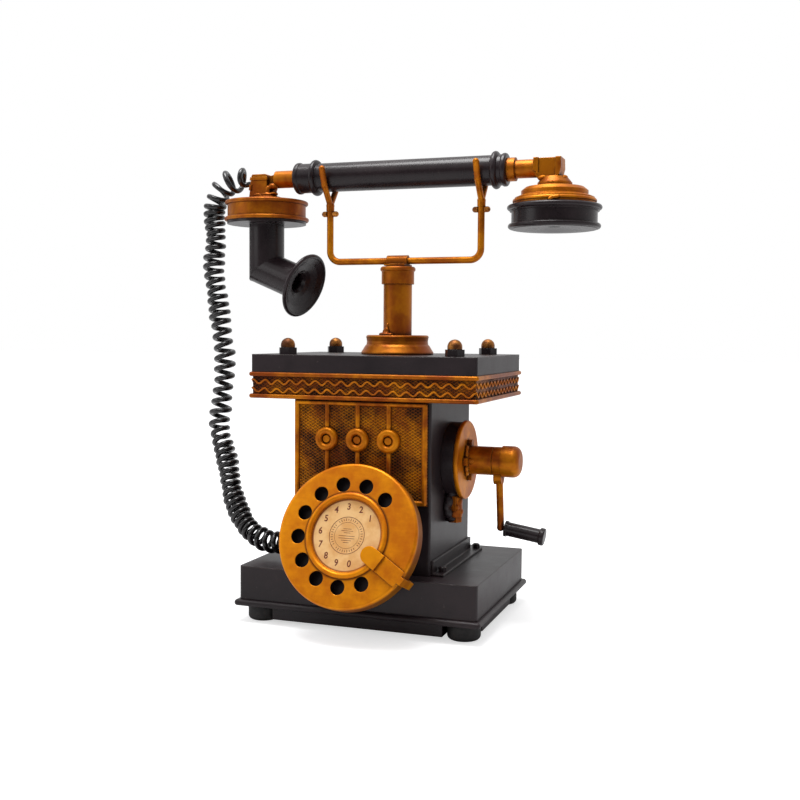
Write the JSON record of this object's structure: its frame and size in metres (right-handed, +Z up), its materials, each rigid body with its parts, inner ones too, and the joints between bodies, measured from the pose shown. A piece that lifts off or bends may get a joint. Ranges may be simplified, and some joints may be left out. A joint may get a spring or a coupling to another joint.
{
  "type": "rotary telephone",
  "caption": "Antique-style desk telephone: square base, column with front dial and side crank, raised cradle with a bar handset on a curled cord.",
  "frame": {"origin": "middle of the object, cord left out, at the underside of the feet", "axes": "+Z up, the dial faces -Y, the crank and the receiver are on the +X side"},
  "size_m": [0.2363, 0.1337, 0.255],
  "materials": {
    "black_paint": "satin black enamel with a warm tint",
    "black_moulding": "black moulded, satin",
    "gold_paint": "antique gold paint, darker in the crevices",
    "dark_brass": "aged brass",
    "black_steel": "blackened hardware",
    "steel": "plain steel",
    "copper_wire": "varnished copper winding",
    "magnet_steel": "hardened magnet steel",
    "card": "cream printed card",
    "contact_block": "brown insulating board",
    "rubber": "black rubber",
    "cord": "black cord jacket"
  },
  "bodies": {
    "housing": {"base_pan": "black_paint", "bottom_plate": "black_paint", "feet": "rubber", "body_case": "black_paint", "body_skirt": "black_paint", "skirt_screws": "black_steel", "front_panel": "gold_paint", "ring_bosses": "gold_paint", "cornice_trim": "gold_paint", "top_slab": "black_paint", "stud_nuts": "black_steel", "acorn_caps": "dark_brass", "post_flange": "gold_paint", "cradle_post": "gold_paint", "post_collar": "gold_paint", "hook_spring": "steel", "hook_switch": "contact_block", "dial_spring": "steel", "dial_case": "black_paint", "dial_plate": "black_paint", "finger_stop": "gold_paint", "dial_stem": "black_paint", "crank_drum": "black_paint", "drum_face": "gold_paint", "drum_lug": "gold_paint", "bearing_neck": "gold_paint", "magneto_magnets": "magnet_steel", "magneto_frame": "steel", "bell_gongs": "dark_brass", "ringer_frame": "steel", "cord_gland": "cord", "curly_cord": "cord"},
    "cradle": {"cradle_yoke": "gold_paint", "cradle_forks": "gold_paint", "fork_rivets": "dark_brass", "cradle_saddle": "gold_paint", "hook_plunger": "steel"},
    "handset": {"handle_tube": "black_moulding", "handle_ferrules": "black_moulding", "handle_stubs": "gold_paint", "transmitter_case": "gold_paint", "transmitter_capsule": "steel", "mouthpiece_elbow": "black_moulding", "mouthpiece_flare": "black_moulding", "receiver_cap": "gold_paint", "receiver_cup": "black_moulding", "receiver_unit": "steel"},
    "dial": {"finger_wheel": "gold_paint", "dial_card": "card", "dial_shaft": "dark_brass"},
    "pulse": {"pulse_wheel": "dark_brass"},
    "crank": {"crank_arm": "gold_paint", "crank_cap": "gold_paint", "crank_shaft": "steel"},
    "grip": {"crank_grip": "black_moulding"},
    "armature": {"magneto_armature": "copper_wire"},
    "button_1": {"line_button_1": "dark_brass"},
    "button_2": {"line_button_2": "dark_brass"},
    "button_3": {"line_button_3": "dark_brass"},
    "clapper": {"clapper": "steel"}
  },
  "joints": [
    {"name": "handset_lift", "type": "slide", "parent": "housing", "child": "handset", "axis": [0, 0, 1], "range_m": [0, 0.08], "deforming": ["curly_cord"]},
    {"name": "hook_rise", "type": "slide", "parent": "housing", "child": "cradle", "axis": [0, 0, 1], "range_m": [0, 0.004], "deforming": ["hook_spring"]},
    {"name": "dial_turn", "type": "hinge", "parent": "housing", "child": "dial", "pos_m": [-0.00535, -0.0538, 0.0548], "axis": [0, 0.9354, -0.3535], "range_deg": [0, 310], "stiffness_Nm_per_rad": 0.004, "springref_deg": -34.38, "deforming": ["dial_spring"]},
    {"name": "pulse_spin", "type": "hinge", "parent": "housing", "child": "pulse", "pos_m": [-0.02283, -0.04763, 0.04567], "axis": [0, 0.9354, -0.3535], "range_deg": [-1120, 0]},
    {"name": "crank_turn", "type": "hinge", "parent": "housing", "child": "crank", "pos_m": [0.05625, 0.0105, 0.0882], "axis": [1, 0, 0], "continuous": true},
    {"name": "armature_spin", "type": "hinge", "parent": "housing", "child": "armature", "pos_m": [-0.00775, 0.0105, 0.0684], "axis": [1, 0, 0], "continuous": true},
    {"name": "grip_spin", "type": "hinge", "parent": "crank", "child": "grip", "pos_m": [0.05915, 0.009, 0.0525], "axis": [0.9877, 0, -0.1564], "continuous": true},
    {"name": "clapper_swing", "type": "hinge", "parent": "housing", "child": "clapper", "pos_m": [-0.00775, 0.0255, 0.0201], "axis": [0, 0, 1], "range_deg": [-3.4, 3.4], "stiffness_Nm_per_rad": 0.002},
    {"name": "button_press_1", "type": "slide", "parent": "housing", "child": "button_1", "axis": [0, 1, 0], "range_m": [0, 0.0018], "stiffness_N_per_m": 200, "springref_m": -0.002},
    {"name": "button_press_2", "type": "slide", "parent": "housing", "child": "button_2", "axis": [0, 1, 0], "range_m": [0, 0.0018], "stiffness_N_per_m": 200, "springref_m": -0.002},
    {"name": "button_press_3", "type": "slide", "parent": "housing", "child": "button_3", "axis": [0, 1, 0], "range_m": [0, 0.0018], "stiffness_N_per_m": 200, "springref_m": -0.002}
  ],
  "couplings": [
    {"joint": "hook_rise", "follows": "handset_lift", "ratio": 0.05},
    {"joint": "pulse_spin", "follows": "dial_turn", "ratio": -3.6},
    {"joint": "armature_spin", "follows": "crank_turn", "ratio": -3.3333}
  ]
}
